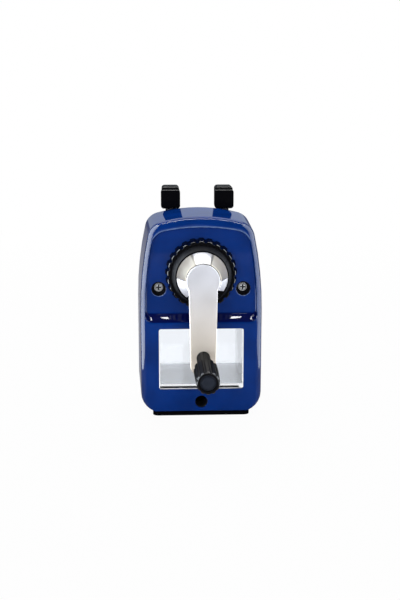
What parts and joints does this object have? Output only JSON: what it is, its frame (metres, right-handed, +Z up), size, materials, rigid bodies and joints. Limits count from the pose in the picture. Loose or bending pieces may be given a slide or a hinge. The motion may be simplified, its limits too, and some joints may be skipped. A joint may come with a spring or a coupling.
{
  "type": "crank pencil sharpener",
  "caption": "Desk pencil sharpener with an arched metal body, a hand crank, a twist-lock cutter unit, a pull-out pencil clamp with squeeze levers and a clear shavings drawer.",
  "frame": {"origin": "centre of the foot pad's underside, on the surface that the sharpener stands on", "axes": "+Z up; +Y from the crank towards the pencil opening, along the crank axis; +X to the right as seen from the crank side"},
  "size_m": [0.0708, 0.1371, 0.1238],
  "materials": {
    "blue_paint": "glossy dark blue enamel",
    "black_plastic": "glossy black moulded plastic",
    "black_matte": "fine-grained black moulded plastic",
    "clear_plastic": "clear moulded plastic",
    "cap_plastic": "polished dark grey plastic",
    "rubber_black": "soft black rubber",
    "nickel": "bright nickel plate",
    "chrome": "bright chrome plate",
    "zinc_steel": "zinc-plated steel",
    "dark_steel": "dark phosphated steel",
    "spring_steel": "drawn spring wire",
    "tool_steel": "hardened tool steel",
    "cast_zinc": "zinc die casting",
    "bronze": "oil-filled sintered bronze",
    "nylon": "natural nylon",
    "grey_steel": "pale grey enamelled steel"
  },
  "bodies": {
    "housing": {"body_shell": "blue_paint", "base_plate": "dark_steel", "foot_pad": "rubber_black", "base_screws": "zinc_steel", "drawer_shelf": "grey_steel", "socket_frame": "black_matte", "frame_screws": "zinc_steel", "tie_posts": "zinc_steel", "end_plate": "blue_paint", "end_screws": "zinc_steel", "tail_bush": "nylon", "rod_bushes": "nylon", "return_springs": "spring_steel"},
    "collar": {"cutter_collar": "black_plastic", "ring_gear": "cast_zinc", "collar_bush": "bronze"},
    "crank": {"crank_hub": "nickel", "crank_arm": "nickel", "hub_pin": "zinc_steel", "knob_axle": "zinc_steel", "cutter_carrier": "cast_zinc", "cutter_axle": "zinc_steel"},
    "cutter": {"cutter_burr": "tool_steel", "cutter_pinion": "tool_steel"},
    "knob": {"crank_knob": "black_plastic", "knob_cap": "cap_plastic"},
    "clamp": {"clip_plate": "chrome", "pencil_bezel": "black_plastic", "guide_rods": "chrome", "rod_clips": "dark_steel", "lever_pins": "chrome", "lever_bridge": "zinc_steel", "lever_spring": "spring_steel"},
    "left_arm": {"left_lever": "dark_steel", "left_cap": "black_plastic"},
    "right_arm": {"right_lever": "dark_steel", "right_cap": "black_plastic"},
    "drawer": {"shavings_drawer": "clear_plastic"}
  },
  "joints": [
    {"name": "collar_twist", "type": "hinge", "parent": "housing", "child": "collar", "pos_m": [0, -0.028, 0.0803], "axis": [0, 1, 0], "range_deg": [0, 30]},
    {"name": "crank_turn", "type": "hinge", "parent": "collar", "child": "crank", "pos_m": [0, -0.033, 0.0803], "axis": [0, 1, 0], "continuous": true},
    {"name": "cutter_spin", "type": "hinge", "parent": "crank", "child": "cutter", "pos_m": [0, -0.0272, 0.0751], "axis": [0, 0.9877, -0.1564], "continuous": true},
    {"name": "knob_spin", "type": "hinge", "parent": "crank", "child": "knob", "pos_m": [0, -0.07, 0.0393], "axis": [0, 1, 0], "continuous": true},
    {"name": "clip_pull", "type": "slide", "parent": "housing", "child": "clamp", "axis": [0, 1, 0], "range_m": [0, 0.023], "stiffness_N_per_m": 60, "springref_m": -0.01, "deforming": ["return_springs"]},
    {"name": "left_squeeze", "type": "hinge", "parent": "clamp", "child": "left_arm", "pos_m": [-0.0095, 0.029, 0.0615], "axis": [0, 1, 0], "range_deg": [0, 7], "stiffness_Nm_per_rad": 0.3, "springref_deg": -6.88, "deforming": ["lever_spring"]},
    {"name": "right_squeeze", "type": "hinge", "parent": "clamp", "child": "right_arm", "pos_m": [0.0095, 0.031, 0.0615], "axis": [0, -1, 0], "range_deg": [0, 7], "stiffness_Nm_per_rad": 0.3, "springref_deg": -6.88, "deforming": ["lever_spring"]},
    {"name": "drawer_pull", "type": "slide", "parent": "housing", "child": "drawer", "axis": [0, 1, 0], "range_m": [0, 0.044]}
  ],
  "couplings": [
    {"joint": "cutter_spin", "follows": "crank_turn", "ratio": -1.9286}
  ]
}
